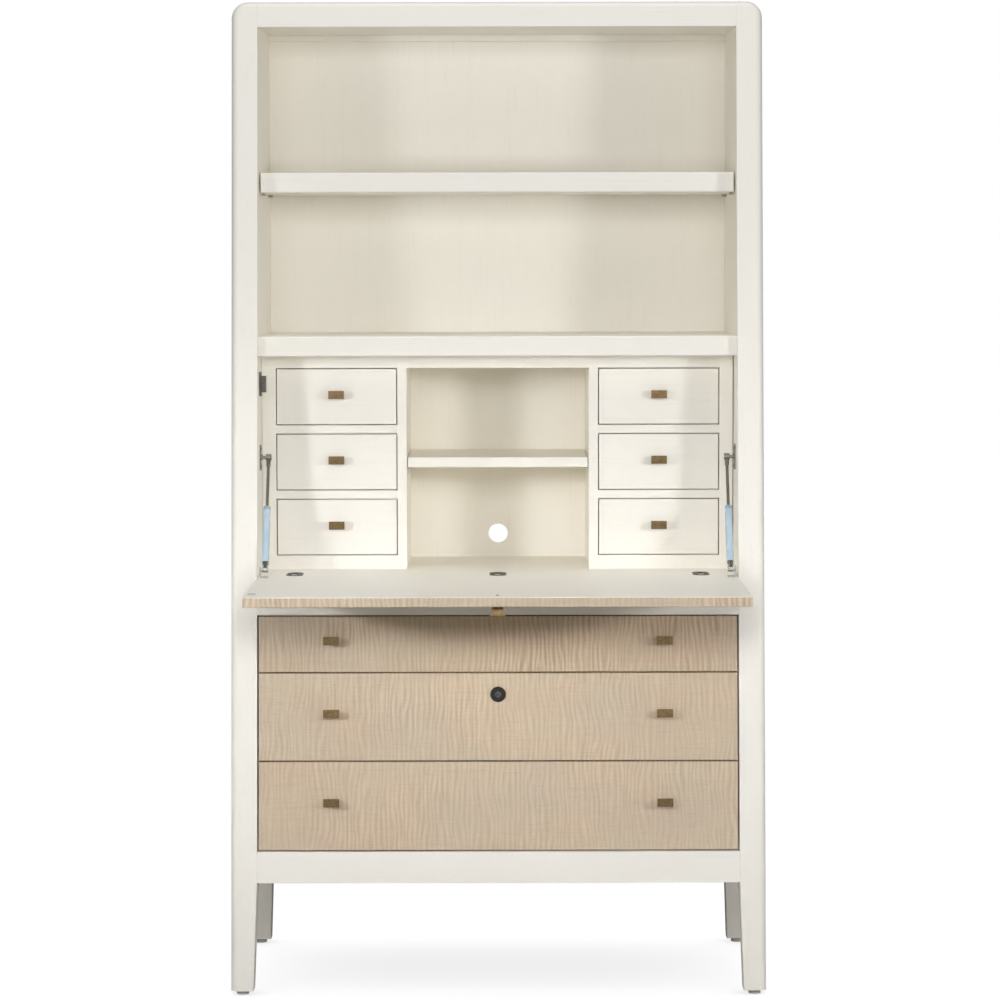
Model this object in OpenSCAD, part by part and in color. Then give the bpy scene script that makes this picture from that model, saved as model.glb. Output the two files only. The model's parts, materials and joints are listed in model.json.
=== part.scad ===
// Secretary desk: an open bookcase above a fall-front desk with small drawers,
// and three wide drawers below. The front leans back as it rises; the rear is upright.
// Millimetres, +Z up, -Y towards the user. The origin is on the floor, under the middle
// of the space that the desk takes up with its leaf open.

/* [Case] */
// Overall width
case_w = 1040; // [1000:1:1080]
// Overall height
case_h = 1930; // [1900:1:1960]
// Depth of the case at the floor
base_depth = 508; // [500:1:516]
// Depth of the case at the top
top_depth = 330; // [322:1:338]
// Width of each front stile and rear post
stile_w = 51; // [46:1:56]
// Front to back size of a front stile
stile_d = 51; // [46:1:56]
// Front to back size of a rear post
post_d = 45; // [40:1:50]
// Radius of the two upper outer corners
corner_r = 32; // [26:1:40]
// Radius of the rounded outer front edges
edge_r = 13; // [8:1:16]
// Height of the rail across the top of the opening
top_rail_h = 49; // [44:1:56]
// Thickness of the top panel
top_t = 45; // [40:1:48]

/* [Legs] */
// Height of the underside of the bottom rail
base_z = 217; // [190:1:230]
// Amount that a leg narrows by at the floor
leg_taper = 7; // [0:1:12]
// Height of a foot glide
glide_h = 9; // [6:1:12]
// Radius of a foot glide
glide_r = 12; // [9:1:15]

/* [Shelves] */
// Thickness of the bookcase shelves
shelf_t = 39; // [32:1:44]
// Height of the underside of the fixed shelf
fixed_shelf_z = 1237; // [1234:1:1245]
// Height of the underside of the adjustable shelf
adjustable_shelf_z = 1558; // [1450:1:1700]
// Reach of the adjustable shelf from the rear
adjustable_shelf_d = 320; // [280:1:330]

/* [Desk] */
// Height of the writing surface
desk_z = 810; // [806:1:812]
// Thickness of the desk floor
floor_t = 22; // [19:1:26]
// Distance from the rear to the seam between desk floor and leaf
hinge_d = 388; // [384:1:392]
// Length of the leaf from seam to front edge
leaf_len = 425; // [415:1:425]
// Thickness of the leaf
leaf_t = 18; // [16:1:18]
// Gap at each side of the leaf
leaf_gap = 2; // [1:0.5:4]

/* [Organizer] */
// Distance from the rear to the face of the small drawers
face_d = 288; // [270:1:295]
// Thickness of the face frame
frame_t = 20; // [16:1:22]
// Width of each small drawer opening
bay_w = 241; // [220:1:245]
// Height of each small drawer opening
bay_h = 113.5; // [105:0.5:114]
// Height of the rails between small drawers
bay_rail = 16.4; // [14:0.1:18]
// Width of the stile beside the central cubby
divider_w = 18.5; // [16:0.5:22]
// Diameter of the cable hole in the back
cable_hole_d = 40; // [30:1:50]
// Height of the centre of the cable hole
cable_hole_z = 858; // [845:1:900]

/* [Drawers] */
// Height of the bottom rail
bottom_rail_h = 60.5; // [55:0.5:65]
// Height of the bottom drawer's front
bottom_front_h = 170; // [160:0.5:172]
// Height of the middle drawer's front
middle_front_h = 168.5; // [160:0.5:170]
// Height of the top drawer's front
top_front_h = 107; // [100:0.5:108]
// Gap around the wide drawer fronts
wide_gap = 3; // [2:0.5:4]
// Distance that the wide drawers sit behind the stiles
front_inset = 3; // [2:0.5:8]
// Distance that the front rails sit behind the stiles
rail_inset = 0.5; // [0.5:0.5:4]
// Thickness of the wide drawer fronts
wide_front_t = 20; // [18:1:22]
// Distance of each pull from the centre line
pull_x = 324; // [280:1:360]

/* [Hidden] */
$fn = 48;
paint = [0.93, 0.91, 0.86];
maple = [0.76, 0.66, 0.53];
pale_wood = [0.85, 0.76, 0.62];
brass = [0.62, 0.48, 0.28];
steel = [0.55, 0.55, 0.54];
dark_steel = [0.25, 0.23, 0.21];
strut_blue = [0.66, 0.76, 0.84];
glide_grey = [0.75, 0.74, 0.72];

lean = (base_depth - top_depth) / case_h;
lean_a = atan(lean);
half_w = case_w / 2;
inner_x = half_w - stile_w;
rear_y = (hinge_d + leaf_len) / 2;

// Case panels
skin_gap = 3;
outer_skin_t = 18;
inner_skin_t = 12;
back_d = 20;
back_t = 8;
cleat_h = 12.5;
cleat_t = 18;
shelf_edge_r = 3;
fixed_shelf_inset = 18;
shelf_end_gap = 3.5;
foot_w = stile_w - leg_taper;
glide_pad_h = 6;
glide_neck_r = 9;
post_edge_r = 3;
inner_edge_r = 2;
slice_h = 0.5;
post_spare = 20;
head_strip_w = 4;
bottom_rail_t = 28;

// Leaf and hinges
leaf_w = 2 * (inner_x - leaf_gap);
leaf_edge_r = 1.5;
seam_gap = 0.5;
leaf_rest_gap = 1;
cup_r = 17;
cup_depth = 12;
cup_off = 18;
cup_clear = 0.1;
cup_flange_t = 0.6;
cup_flange_w = 32;
cup_slot_w = 10;
cup_slot_depth = 7;
cup_slot_back = 4;
cup_screw_r = 2.6;
cup_screw_x = 10.5;
hinge_x = [-398, 0, 398];

// Organizer
cubby_half = inner_x - 28.5 - bay_w - divider_w;
bay_x = cubby_half + divider_w + bay_w / 2;
bay_top_rail = 26;
bay_floor_t = 12;
guide_w = 10;
guide_h = 20;
frame_gap_left = 0.6;
frame_gap_right = 1.8;
small_gap = 2;
small_front_t = 16;
small_box_back = 40;
small_box_inset = 1;
small_wall = 10;
small_box_floor = 6;
small_box_h = 92;
small_knob_up = 4.5;
cubby_shelf_t = 20;
cubby_shelf_z = 1013;
cubby_shelf_gap = 2.5;
cubby_shelf_back = 3;
cubby_shelf_inset = 2;
cubby_shelf_edge_r = 2;

// Shelf pins
pin_r = 2.5;
pin_len = 9;
pin_rear_d = 70;
pin_front_back = 50;
adjustable_shelf_back = 4;

// Wide drawers, lowest first
wide_front_h = [bottom_front_h, middle_front_h, top_front_h];
wide_front_w = 2 * (inner_x - wide_gap);
box_half = inner_x - 13;
box_wall = 14;
box_floor = 8;
box_back = 36;
box_lift = 12;
box_drop = [14, 16, 12];
box_lock_room = 12;
divider_t = 18;
divider_d = 60;
divider_gap = 1;
track_h = 38;
track_depth = 10;
track_rear_d = 46;
runner_h = 30;
runner_depth = 8;
runner_short = 20;
channel_t = 1.5;
pull_up = 7;

// Pulls
plate_w = 31;
plate_h = 16;
plate_t = 2.5;
stem_len = 18.5;
stem_base_w = 18;
stem_base_h = 8;
stem_end_w = 28;
stem_end_h = 12;
leaf_pull_back = 34;
screw_head_r = 3.5;
screw_head_h = 0.8;

// Lock
lock_up = 41;
lock_ring_r = 15;
lock_ring_t = 3;
lock_body_r = 9.5;
lock_body_len = 26;
lock_fit = 0.05;
plug_r = 6;
key_slot_w = 2;
key_slot_h = 8;
cam_len = 50;
cam_w = 12;
cam_t = 2.5;
cam_slot = 31;
cam_slot_up = 5;
cam_gap = 0.5;
key_slot_d = 6;
plug_inset = 0.6;
lock_bore_fit = 0.1;

// Gas struts: T is the pivot on the wall, B the pivot on the leaf
strut_x = 452;
wall_pivot_d = 338;
wall_pivot_z = 1037;
leaf_pivot_run = 62;
leaf_pivot_up = 15;
strut_dy = hinge_d + leaf_pivot_run - wall_pivot_d;
strut_dz = wall_pivot_z - desk_z - leaf_pivot_up;
strut_len = sqrt(strut_dy * strut_dy + strut_dz * strut_dz);
strut_a = atan(strut_dy / strut_dz);
socket_r = 6.5;
socket_w = 11;
socket_cap = 2;
lower_socket_r = 5;
stud_r = 3;
stud_fit = 0.05;
rod_r = 3;
rod_fit = 0.08;
piston_r = 5.9;
piston_h = 6;
tube_r = 7;
tube_len = 117;
tube_wall = 1;
tube_end = 8;
tube_to_pivot = 16;
neck_r = 4.2;
neck_len = 12;
collar_r = 6.3;
collar_h = 3;
collar_drop = 2.5;
mouth = strut_len - tube_to_pivot - tube_len;

// Strut brackets
wall_plate_t = 2.3;
wall_plate_w = 16;
wall_plate_h = 50;
wall_boss_r = 5.5;
wall_boss_h = 3;
wall_stud_reach = 8.5;
wall_screw_z = 18;
wall_screw_r = 3.4;
wall_screw_h = 1.2;
leaf_plate_t = 1.5;
leaf_plate_back = 12;
leaf_plate_front = 16;
leaf_ear_off = 3.3;
leaf_ear_t = 2;
leaf_ear_w = 14;
leaf_ear_up = 6;
leaf_stud_r = 3.5;
leaf_screw_r = 3.2;
leaf_screw_h = 0.9;
leaf_screw_d = [-7, 11];
open_pivot_gap = 0.3;

// Magnetic catch and its strike
catch_z = 1182;
catch_front_d = 349.5;
catch_x = 456;
catch_plate_t = 3.5;
catch_plate_h = 47;
catch_body_h = 32;
catch_depth = 18;
strike_w = 14;
strike_len = 22;
strike_t = 1.2;
strike_screw_r = 3;
strike_screw_h = 0.6;

// Distance of the front plane from the rear plane at height z
function front_d(z) = base_depth - lean * z;

// Y of a point at distance d in front of the rear plane
function y_at(d) = rear_y - d;

// Underside of wide drawer front i, counted from the lowest
function wide_z(i) = i == 0 ? base_z + bottom_rail_h + wide_gap
    : wide_z(i - 1) + wide_front_h[i - 1] + wide_gap;

// Underside of small drawer opening i, counted from the highest
function bay_z(i) = fixed_shelf_z - bay_top_rail - bay_h - i * (bay_h + bay_rail);

desk_rail_z = wide_z(2) + wide_front_h[2] + wide_gap;
lock_z = wide_z(1) + wide_front_h[1] - lock_up;

// Outline in Y and Z, swept along X from x0 to x1
module along_x(x0, x1) {
    translate([x0, 0, 0])
        rotate([90, 0, 90])
            linear_extrude(x1 - x0)
                children();
}

// Outline in X and Z, swept along Y between distances d0 and d1 from the rear
module along_y(d0, d1) {
    translate([0, y_at(d0), 0])
        rotate([90, 0, 0])
            linear_extrude(d1 - d0)
                children();
}

// Plain board between distances d0 and d1 from the rear
module board(x0, x1, d0, d1, z0, z1) {
    translate([x0, y_at(d1), z0])
        cube([x1 - x0, d1 - d0, z1 - z0]);
}

// Side outline from an upright rear edge to the leaning front plane
module to_front(d0, z0, z1, inset) {
    polygon([
        [y_at(d0), z0],
        [y_at(front_d(z0) - inset), z0],
        [y_at(front_d(z1) - inset), z1],
        [y_at(d0), z1]
    ]);
}

// Side outline of a board that leans with the front plane
module leaning(z0, z1, inset, t) {
    polygon([
        [y_at(front_d(z0) - inset - t), z0],
        [y_at(front_d(z0) - inset), z0],
        [y_at(front_d(z1) - inset), z1],
        [y_at(front_d(z1) - inset - t), z1]
    ]);
}

// Side outline of a board with two rounded front edges
module round_front(d0, d1, z0, z1, r) {
    translate([y_at(d1), z0 + r])
        square([d1 - d0, z1 - z0 - 2 * r]);
    translate([y_at(d1 - r), z0])
        square([d1 - d0 - r, z1 - z0]);
    for (z = [z0 + r, z1 - r])
        translate([y_at(d1 - r), z])
            circle(r);
}

// Places a fitting on the leaning front, pointing towards -Y
module on_front(x, z, inset) {
    translate([x, y_at(front_d(z) - inset), z])
        rotate([-lean_a, 0, 0])
            children();
}

// Copies a right-hand part to the side given by s
module on_side(s) {
    mirror([s < 0 ? 1 : 0, 0, 0])
        children();
}

// Four corner cylinders of a post at height z, for hull()
module post_slice(z, x_in, d_back, d_front, r_front, r_back) {
    translate([half_w - r_front, y_at(d_front - r_front), z])
        cylinder(r = r_front, h = slice_h, $fn = 32);
    translate([half_w - r_back, y_at(d_back + r_back), z])
        cylinder(r = r_back, h = slice_h, $fn = 16);
    for (d = [d_back + inner_edge_r, d_front - inner_edge_r])
        translate([x_in + inner_edge_r, y_at(d), z])
            cylinder(r = inner_edge_r, h = slice_h, $fn = 16);
}

// Stile and front leg in one length, with the rounded corner at its head
module front_stile(s) {
    color(paint) on_side(s) intersection() {
        front_stile_body();
        along_x(inner_x, half_w)
            polygon([
                [y_at(front_d(glide_h) - foot_w), glide_h],
                [y_at(front_d(glide_h) + 1), glide_h],
                [y_at(front_d(case_h) + 1), case_h],
                [y_at(front_d(case_h) - stile_d), case_h],
                [y_at(front_d(base_z) - stile_d), base_z]
            ]);
    }
}

// Rounded outside of a stile, deeper than the stile is
module front_stile_body() {
    depth = stile_d + post_spare;
    sweep_r = corner_r - edge_r;
    top_d = front_d(case_h);
    hull() {
        post_slice(glide_h, inner_x + leg_taper, front_d(glide_h) - depth, front_d(glide_h),
            edge_r, inner_edge_r);
        post_slice(base_z, inner_x, front_d(base_z) - depth, front_d(base_z), edge_r, inner_edge_r);
        for (a = [0:10:90]) {
            z = case_h - corner_r + sweep_r * sin(a);
            translate([half_w - corner_r + sweep_r * cos(a), y_at(front_d(z) - edge_r), z])
                sphere(r = edge_r, $fn = 32);
        }
        translate([inner_x, y_at(front_d(case_h - edge_r) - edge_r), case_h - edge_r])
            rotate([0, 90, 0])
                cylinder(r = edge_r, h = stile_w - corner_r, $fn = 32);
        translate([half_w - corner_r, y_at(top_d - edge_r), case_h - corner_r])
            rotate([-90, 0, 0])
                cylinder(r = corner_r, h = depth - edge_r, $fn = 72);
        board(inner_x, inner_x + head_strip_w, top_d - depth, top_d - edge_r,
            case_h - slice_h, case_h);
        board(inner_x, inner_x + head_strip_w, top_d - depth, front_d(case_h - corner_r) - inner_edge_r,
            case_h - corner_r, case_h - corner_r + slice_h);
    }
}

// Rear post and rear leg in one length
module rear_post(s) {
    color(paint) on_side(s) intersection() {
        hull() {
            post_slice(glide_h, inner_x + leg_taper, 0, post_d - leg_taper, post_edge_r, post_edge_r);
            post_slice(base_z, inner_x, 0, post_d, post_edge_r, post_edge_r);
            translate([half_w - corner_r, y_at(0), case_h - corner_r])
                rotate([90, 0, 0])
                    cylinder(r = corner_r, h = post_d, $fn = 72);
            board(inner_x, inner_x + head_strip_w, 0, post_d, case_h - slice_h, case_h);
        }
        board(inner_x, half_w, 0, post_d, glide_h, case_h);
    }
}

// Outer skin and inner skin of one side of the case
module side_panel(s) {
    color(paint) on_side(s) {
        along_x(half_w - skin_gap - outer_skin_t, half_w - skin_gap)
            to_front(post_d, base_z, case_h - top_t, stile_d);
        along_x(inner_x, inner_x + inner_skin_t)
            to_front(post_d, base_z, case_h - top_t, stile_d);
    }
}

// Top panel with rounded side edges; its middle reaches the rear between the posts
module top_panel() {
    color(paint) {
        intersection() {
            along_y(post_d, base_depth)
                intersection() {
                    union() {
                        translate([-half_w, 0])
                            square([case_w, case_h - corner_r]);
                        translate([corner_r - half_w, 0])
                            square([case_w - 2 * corner_r, case_h]);
                        for (s = [-1, 1])
                            translate([s * (half_w - corner_r), case_h - corner_r])
                                circle(corner_r, $fn = 96);
                    }
                    translate([-half_w, case_h - top_t])
                        square([case_w, top_t]);
                }
            along_x(-half_w, half_w)
                to_front(0, case_h - top_t, case_h, stile_d);
        }
        board(-inner_x, inner_x, 0, post_d, case_h - top_t, case_h);
    }
}

// Front rail across the top of the opening, with a rounded upper edge
module top_rail() {
    z0 = case_h - top_rail_h;
    z1 = case_h - edge_r;
    color(paint) along_x(-inner_x, inner_x) {
        leaning(z0, z1, 0, stile_d);
        polygon([
            [y_at(front_d(z0) - stile_d), z0],
            [y_at(front_d(z1) - edge_r), z0],
            [y_at(front_d(z1) - edge_r), case_h],
            [y_at(front_d(case_h) - stile_d), case_h]
        ]);
        translate([y_at(front_d(z1) - edge_r), z1])
            circle(edge_r, $fn = 72);
    }
}

// One-piece back with the cable hole
module back_panel() {
    color(paint) difference() {
        board(-inner_x, inner_x, back_d - back_t, back_d, base_z, case_h - top_t);
        translate([0, y_at(back_d) - 1, cable_hole_z])
            rotate([-90, 0, 0])
                cylinder(d = cable_hole_d, h = back_t + 2);
    }
}

// Strip under the top panel, against the back
module back_cleat() {
    color(paint)
        board(-inner_x, inner_x, back_d, back_d + cleat_t, case_h - top_t - cleat_h, case_h - top_t);
}

module adjustable_shelf() {
    half = inner_x - shelf_end_gap;
    color(paint) along_x(-half, half)
        round_front(back_d + adjustable_shelf_back, adjustable_shelf_d, adjustable_shelf_z,
            adjustable_shelf_z + shelf_t, shelf_edge_r);
}

// Pins that carry the adjustable shelf and the cubby shelf
module shelf_pins() {
    color(steel) for (s = [-1, 1]) on_side(s) {
        for (d = [pin_rear_d, adjustable_shelf_d - pin_front_back])
            shelf_pin(inner_x, d, adjustable_shelf_z);
        for (d = [pin_rear_d, face_d - pin_front_back])
            shelf_pin(cubby_half, d, cubby_shelf_z);
    }
}

// One pin that stands out of a wall at x and carries a shelf at height z
module shelf_pin(x, d, z) {
    translate([x - pin_len, y_at(d), z - pin_r])
        rotate([0, 90, 0])
            cylinder(r = pin_r, h = pin_len);
}

// Shelf between bookcase and desk
module fixed_shelf() {
    z1 = fixed_shelf_z + shelf_t;
    color(paint) along_x(-inner_x, inner_x)
        round_front(back_d, front_d(z1) - fixed_shelf_inset, fixed_shelf_z, z1, shelf_edge_r);
}

// Writing surface inside the case, with pockets for the hinge cups
module desk_floor() {
    color(paint) difference() {
        board(-inner_x, inner_x, back_d, hinge_d - seam_gap, desk_z - floor_t, desk_z);
        for (x = hinge_x)
            translate([x, y_at(hinge_d - cup_off), desk_z - cup_depth])
                cylinder(r = cup_r, h = cup_depth + 1);
    }
}

// Rail between desk and top drawer; the open leaf lies just above it
module desk_front_rail() {
    color(paint) along_x(-inner_x, inner_x)
        to_front(hinge_d + seam_gap, desk_rail_z, desk_z - leaf_t - leaf_rest_gap, rail_inset);
}

// Face frame around the six small drawers and the cubby
module organizer_face_frame() {
    top_z = fixed_shelf_z - bay_top_rail;
    color(paint) along_y(face_d - frame_t, face_d)
        difference() {
            translate([frame_gap_left - inner_x, desk_z])
                square([2 * inner_x - frame_gap_left - frame_gap_right, fixed_shelf_z - desk_z]);
            translate([-cubby_half, desk_z - 1])
                square([2 * cubby_half, top_z - desk_z + 1]);
            for (s = [-1, 1])
                for (i = [0:2])
                    translate([s * bay_x - bay_w / 2, bay_z(i)])
                        square([bay_w, bay_h]);
        }
}

// Two upright partitions, the floors under the small drawers and their guides
module organizer_partitions() {
    d1 = face_d - frame_t;
    color(paint) for (s = [-1, 1]) on_side(s) {
        board(cubby_half, cubby_half + divider_w, back_d, d1, desk_z, fixed_shelf_z);
        for (i = [0:2]) {
            board(cubby_half + divider_w, inner_x, back_d, d1, bay_z(i) - bay_floor_t, bay_z(i));
            board(bay_x + bay_w / 2, bay_x + bay_w / 2 + guide_w, back_d, d1, bay_z(i), bay_z(i) + guide_h);
        }
    }
}

module cubby_shelf() {
    half = cubby_half - cubby_shelf_gap;
    color(paint) along_x(-half, half)
        round_front(back_d + cubby_shelf_back, face_d - cubby_shelf_inset, cubby_shelf_z,
            cubby_shelf_z + cubby_shelf_t, cubby_shelf_edge_r);
}

// Front rail under the lowest drawer
module bottom_rail() {
    color(paint) along_x(-inner_x, inner_x)
        leaning(base_z, base_z + bottom_rail_h, rail_inset, bottom_rail_t);
}

// Hidden rails: one between each pair of wide drawers, and one along the rear
module case_rails() {
    back_of_front = front_inset + wide_front_t + divider_gap;
    color(pale_wood) {
        for (i = [1, 2]) {
            z = wide_z(i) - wide_gap / 2;
            difference() {
                along_x(-inner_x, inner_x)
                    leaning(z - divider_t / 2, z + divider_t / 2, back_of_front, divider_d);
                if (i == 2)
                    board(-cam_w, cam_slot, 0, base_depth, z - divider_t / 2 - 1, z + cam_slot_up);
            }
        }
        board(-inner_x, inner_x, back_d, back_d + divider_t, base_z, base_z + bottom_rail_h);
    }
}

// Channel open towards the centre line, for the sides of the case
module track_channel(z, d0, d1) {
    board(inner_x - channel_t, inner_x, d0, d1, z - track_h / 2, z + track_h / 2);
    for (e = [-track_h / 2, track_h / 2 - channel_t])
        board(inner_x - track_depth, inner_x - channel_t, d0, d1, z + e, z + e + channel_t);
}

// Channel open towards the wall, for the sides of a drawer box
module runner_channel(z, d0, d1) {
    board(box_half, box_half + channel_t, d0, d1, z - runner_h / 2, z + runner_h / 2);
    for (e = [-runner_h / 2, runner_h / 2 - channel_t])
        board(box_half + channel_t, box_half + runner_depth, d0, d1, z + e, z + e + channel_t);
}

// Height of the slides of wide drawer i
function slide_z(i) = wide_z(i) + wide_front_h[i] / 2;

module drawer_tracks() {
    color(steel) for (s = [-1, 1]) on_side(s)
        for (i = [0:2])
            track_channel(slide_z(i), track_rear_d, front_d(slide_z(i)) - stile_d);
}

// Nail-on glide under each leg
module foot_glides() {
    front_c = front_d(glide_h) - foot_w / 2;
    rear_c = (post_d - leg_taper) / 2;
    color(glide_grey) for (s = [-1, 1])
        for (d = [front_c, rear_c])
            translate([s * (half_w - foot_w / 2), y_at(d), 0]) {
                cylinder(r = glide_r, h = glide_pad_h);
                translate([0, 0, glide_pad_h])
                    cylinder(r = glide_neck_r, h = glide_h - glide_pad_h);
            }
}

// Cup of a flap hinge under a thin flange that reaches the seam, with the slot that its link
// folds into; the seam lies towards +Y of a leaf cup and towards -Y of a desk cup
module hinge_cup(seam_side) {
    reach = cup_off - 2 * seam_gap;
    difference() {
        union() {
            translate([0, 0, -cup_depth])
                cylinder(r = cup_r - cup_clear, h = cup_depth);
            cylinder(r = cup_flange_w / 2, h = cup_flange_t);
            translate([-cup_flange_w / 2, seam_side > 0 ? 0 : -reach, 0])
                cube([cup_flange_w, reach, cup_flange_t]);
        }
        translate([-cup_slot_w / 2, seam_side > 0 ? -cup_slot_back : -cup_off - 1, -cup_slot_depth])
            cube([cup_slot_w, cup_off + cup_slot_back + 1, cup_slot_depth + 1]);
        for (x = [-cup_screw_x, cup_screw_x])
            translate([x, 0, -1])
                cylinder(r = cup_screw_r, h = 2);
    }
}

module desk_hinge_cups() {
    color(dark_steel) for (x = hinge_x)
        translate([x, y_at(hinge_d - cup_off), desk_z])
            hinge_cup(-1);
}

module leaf_hinge_cups() {
    color(dark_steel) for (x = hinge_x)
        translate([x, y_at(hinge_d + cup_off), desk_z])
            hinge_cup(1);
}

// Fall-front leaf, drawn open
module leaf_panel() {
    color(maple) difference() {
        along_x(-leaf_w / 2, leaf_w / 2)
            round_front(hinge_d, hinge_d + leaf_len, desk_z - leaf_t, desk_z, leaf_edge_r);
        for (x = hinge_x)
            translate([x, y_at(hinge_d + cup_off), desk_z - cup_depth])
                cylinder(r = cup_r, h = cup_depth + 1);
    }
}

// Outline that widens from w0 at the base to w1 at the end of the stem, towards -Y
module flare(w0, w1) {
    polygon([
        [-w0 / 2, 0],
        [w0 / 2, 0],
        [w1 / 2, -stem_len],
        [-w1 / 2, -stem_len]
    ]);
}

// Rectangular plate on a stem that flares both ways, pointing towards -Y from its base at the origin
module pull() {
    intersection() {
        translate([0, 0, -plate_h / 2])
            linear_extrude(plate_h)
                flare(stem_base_w, stem_end_w);
        translate([-plate_w / 2, 0, 0])
            rotate([0, 90, 0])
                linear_extrude(plate_w)
                    flare(stem_base_h, stem_end_h);
    }
    translate([-plate_w / 2, -stem_len - plate_t, -plate_h / 2])
        cube([plate_w, plate_t, plate_h]);
}

// Pull under the front edge of the leaf, and the head of the screw that holds it
module leaf_pull() {
    d = hinge_d + leaf_len - leaf_pull_back;
    color(brass) translate([0, y_at(d), desk_z - leaf_t])
        rotate([90, 0, 0])
            pull();
    color(brass) translate([0, y_at(d), desk_z])
        cylinder(r = screw_head_r, h = screw_head_h);
}

// Steel plate that the catch grips
module leaf_strike() {
    run = (catch_z - desk_z) * cos(lean_a) + 1;
    color(steel) translate([2 - catch_x, y_at(hinge_d + run), desk_z]) {
        translate([-strike_w / 2, -strike_len / 2, 0])
            cube([strike_w, strike_len, strike_t]);
        translate([0, 0, strike_t])
            cylinder(r = strike_screw_r, h = strike_screw_h);
    }
}

// Plate on the side wall with the stud that the strut turns on
module wall_bracket() {
    face = inner_x - wall_plate_t;
    tip = strut_x + socket_w / 2 - wall_stud_reach;
    board(face, inner_x, wall_pivot_d - wall_plate_w / 2, wall_pivot_d + wall_plate_w / 2,
        wall_pivot_z - wall_plate_h / 2, wall_pivot_z + wall_plate_h / 2);
    translate([face - wall_boss_h, y_at(wall_pivot_d), wall_pivot_z])
        rotate([0, 90, 0])
            cylinder(r = wall_boss_r, h = wall_boss_h);
    translate([tip, y_at(wall_pivot_d), wall_pivot_z])
        rotate([0, 90, 0])
            cylinder(r = stud_r, h = face - wall_boss_h - tip);
    for (z = [-wall_screw_z, wall_screw_z])
        translate([face - wall_screw_h, y_at(wall_pivot_d), wall_pivot_z + z])
            rotate([0, 90, 0])
                cylinder(r = wall_screw_r, h = wall_screw_h);
}

module strut_wall_brackets() {
    color(steel) for (s = [-1, 1]) on_side(s)
        wall_bracket();
}

// Angle on the leaf with a short stud that ends just beside the strut's lower socket
module leaf_bracket() {
    d = hinge_d + leaf_pivot_run;
    ear_x = strut_x + socket_w / 2 + leaf_ear_off;
    board(strut_x - socket_w / 2, ear_x + leaf_ear_t, d - leaf_plate_back, d + leaf_plate_front,
        desk_z, desk_z + leaf_plate_t);
    board(ear_x, ear_x + leaf_ear_t, d - leaf_ear_w / 2, d + leaf_ear_w / 2,
        desk_z + leaf_plate_t, desk_z + leaf_pivot_up + leaf_ear_up);
    translate([strut_x + socket_w / 2 + open_pivot_gap, y_at(d), desk_z + leaf_pivot_up])
        rotate([0, 90, 0])
            cylinder(r = leaf_stud_r, h = leaf_ear_off - open_pivot_gap);
    for (e = leaf_screw_d)
        translate([strut_x, y_at(d + e), desk_z + leaf_plate_t])
            cylinder(r = leaf_screw_r, h = leaf_screw_h);
}

module strut_leaf_brackets() {
    color(steel) for (s = [-1, 1]) on_side(s)
        leaf_bracket();
}

// Places a strut part with its wall pivot at the origin and its length along -Z
module on_strut(s) {
    on_side(s)
        translate([strut_x, y_at(wall_pivot_d), wall_pivot_z])
            rotate([-strut_a, 0, 0])
                children();
}

// Socket, rod and piston
module strut_rod(s) {
    color(steel) on_strut(s) {
        difference() {
            union() {
                translate([-socket_w / 2, 0, 0])
                    rotate([0, 90, 0])
                        cylinder(r = socket_r, h = socket_w);
                translate([0, 0, -socket_r - neck_len])
                    cylinder(r = neck_r, h = neck_len + 2);
            }
            translate([socket_cap - socket_w / 2, 0, 0])
                rotate([0, 90, 0])
                    cylinder(r = stud_r + stud_fit, h = socket_w);
        }
        translate([0, 0, -mouth - tube_end - piston_h])
            cylinder(r = rod_r, h = mouth + tube_end + piston_h - socket_r - neck_len);
        translate([0, 0, -mouth - tube_end - piston_h - 1])
            cylinder(r = piston_r, h = piston_h);
    }
}

// Gas tube and lower socket
module strut_cylinder(s) {
    chamber_r = tube_r - tube_wall;
    color(strut_blue) on_strut(s) {
        difference() {
            translate([0, 0, -mouth - tube_len])
                cylinder(r = tube_r, h = tube_len);
            translate([0, 0, -mouth - tube_len + tube_end])
                cylinder(r = chamber_r, h = tube_len - 2 * tube_end);
            translate([0, 0, -mouth - tube_end - 1])
                cylinder(r = rod_r + rod_fit, h = tube_end + 2);
        }
        translate([0, 0, -strut_len])
            cylinder(r = neck_r, h = tube_to_pivot);
        translate([0, 0, -mouth - tube_len - collar_drop - collar_h])
            cylinder(r = collar_r, h = collar_h);
        translate([-socket_w / 2, 0, -strut_len])
            rotate([0, 90, 0])
                cylinder(r = lower_socket_r, h = socket_w);
    }
}

// Magnetic catch on the left wall
module leaf_catch() {
    plate_x = inner_x - catch_plate_t;
    color(dark_steel) on_side(-1) {
        board(plate_x, inner_x, catch_front_d - catch_depth - 2, catch_front_d - 2,
            catch_z - catch_plate_h / 2, catch_z + catch_plate_h / 2);
        board(catch_x, plate_x, catch_front_d - catch_depth, catch_front_d,
            catch_z - catch_body_h / 2, catch_z + catch_body_h / 2);
    }
}

// Front of wide drawer i; the middle one is bored for the lock
module wide_front(i) {
    color(maple) difference() {
        along_x(-wide_front_w / 2, wide_front_w / 2)
            leaning(wide_z(i), wide_z(i) + wide_front_h[i], front_inset, wide_front_t);
        if (i == 1)
            on_front(0, lock_z, front_inset)
                translate([0, -2, 0])
                    rotate([-90, 0, 0])
                        cylinder(r = lock_body_r + lock_bore_fit, h = wide_front_t + 4);
    }
}

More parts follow.
